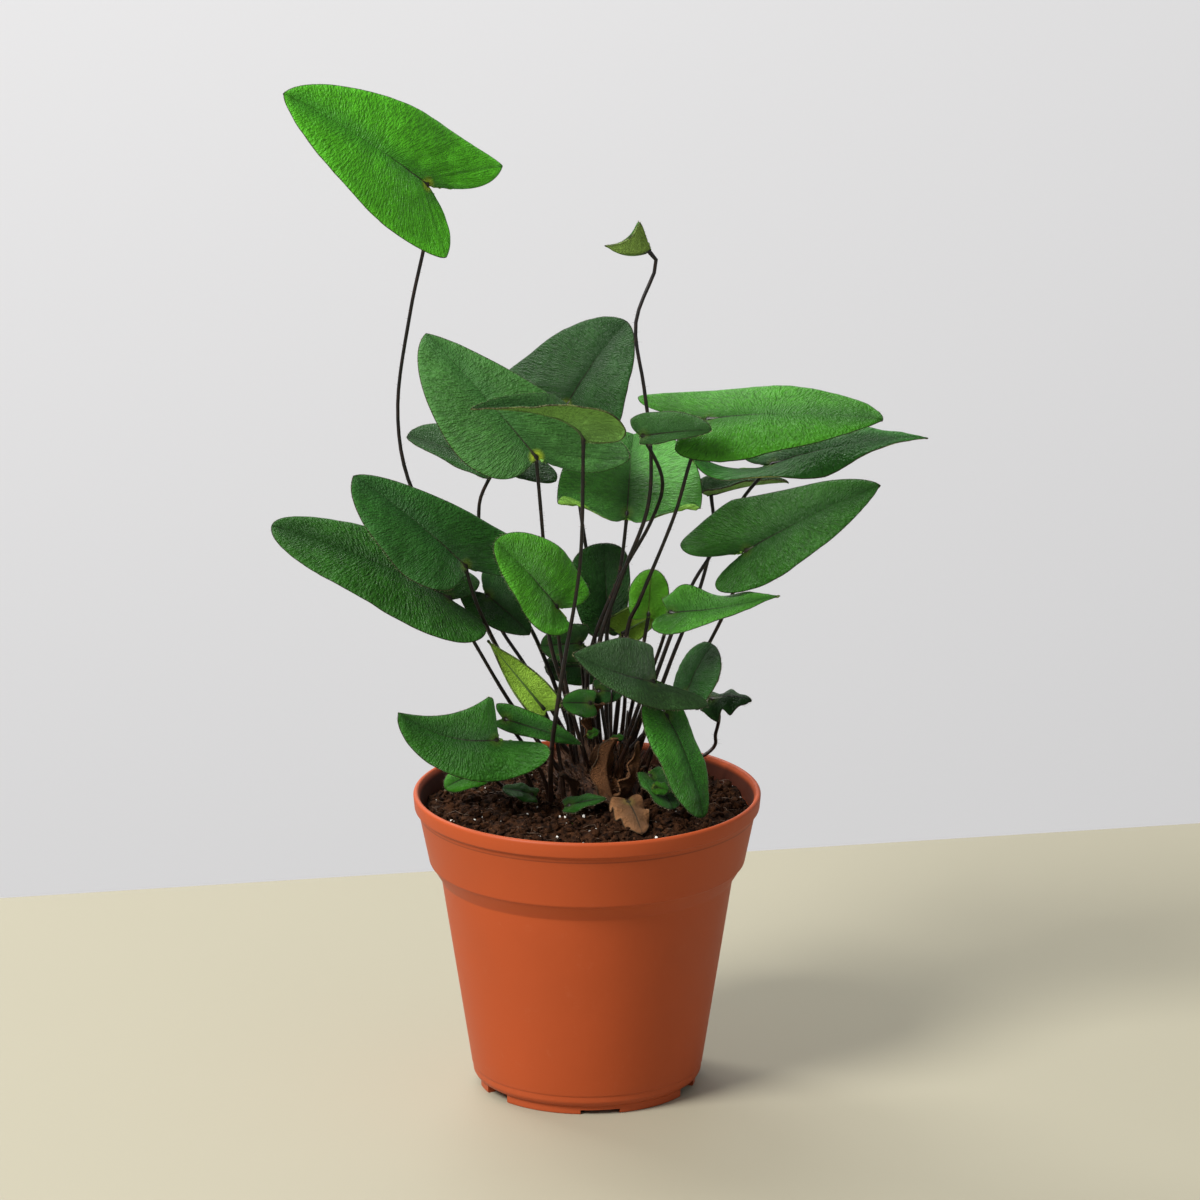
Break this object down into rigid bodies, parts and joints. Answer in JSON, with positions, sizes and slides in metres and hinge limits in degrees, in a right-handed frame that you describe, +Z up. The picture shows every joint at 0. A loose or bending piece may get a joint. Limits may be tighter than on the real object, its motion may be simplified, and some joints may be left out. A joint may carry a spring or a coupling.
{
  "type": "potted heart fern",
  "caption": "Heart fern with glossy heart-shaped fronds on thin black stems, in a terracotta-coloured plastic nursery pot filled with peat.",
  "frame": {"origin": "centre of the pot's base, on the surface that it stands on", "axes": "+Z up along the pot's axis, -Y towards the front of the picture, +X to the right of it"},
  "size_m": [0.1962, 0.1072, 0.3062],
  "materials": {
    "terracotta_plastic": "matte moulded",
    "peat": "rough, with pale perlite grains",
    "crown_fibre": "rough, fibrous",
    "stipe_black": "satin, with short hairs",
    "leaf_green": "leathery satin",
    "leaf_young": "leathery satin",
    "leaf_dark": "leathery satin",
    "leaf_grey": "leathery, with a dull sheen",
    "dry_leaf": "dry, crumpled"
  },
  "bodies": {
    "root": {"pot": "terracotta_plastic", "soil": "peat", "crown": "crown_fibre", "tall_left_blade": "leaf_young", "tall_left_stipe": "stipe_black", "tall_young_blade": "leaf_young", "tall_young_stipe": "stipe_black", "upper_left_blade": "leaf_grey", "upper_left_stipe": "stipe_black", "rear_top_blade": "leaf_dark", "rear_top_stipe": "stipe_black", "rear_left_blade": "leaf_dark", "rear_left_stipe": "stipe_black", "mid_left_blade": "leaf_dark", "mid_left_stipe": "stipe_black", "low_left_blade": "leaf_green", "low_left_stipe": "stipe_black", "inner_left_blade": "leaf_dark", "inner_left_stipe": "stipe_black", "centre_bright_blade": "leaf_young", "centre_bright_stipe": "stipe_black", "rear_centre_blade": "leaf_dark", "rear_centre_stipe": "stipe_black", "rear_round_blade": "leaf_young", "rear_round_stipe": "stipe_black", "right_curled_blade": "leaf_young", "right_curled_stipe": "stipe_black", "right_heart_blade": "leaf_green", "right_heart_stipe": "stipe_black", "top_right_blade": "leaf_young", "top_right_stipe": "stipe_black", "far_right_blade": "leaf_dark", "far_right_stipe": "stipe_black", "front_top_blade": "leaf_grey", "front_top_stipe": "stipe_black", "centre_top_blade": "leaf_green", "centre_top_stipe": "stipe_black", "rear_right_blade": "leaf_grey", "rear_right_stipe": "stipe_black", "front_low_blade": "leaf_grey", "front_low_stipe": "stipe_black", "low_right_blade": "leaf_dark", "low_right_stipe": "stipe_black", "pot_left_blade": "leaf_green", "pot_left_stipe": "stipe_black", "front_small_frond": "leaf_grey", "rear_turned_frond": "leaf_young", "hanging_front_frond": "leaf_green", "soil_right_frond": "leaf_green", "shrivelled_frond": "leaf_dark", "rim_left_frond": "leaf_young", "low_turned_frond": "leaf_young", "low_folded_frond": "leaf_green", "inner_centre_frond": "leaf_grey", "rear_low_frond": "leaf_dark", "inner_low_frond": "leaf_green", "inner_dark_frond": "leaf_dark", "soil_left_frond": "leaf_green", "soil_front_frond": "leaf_green", "dry_leaf": "dry_leaf"}
  },
  "joints": []
}
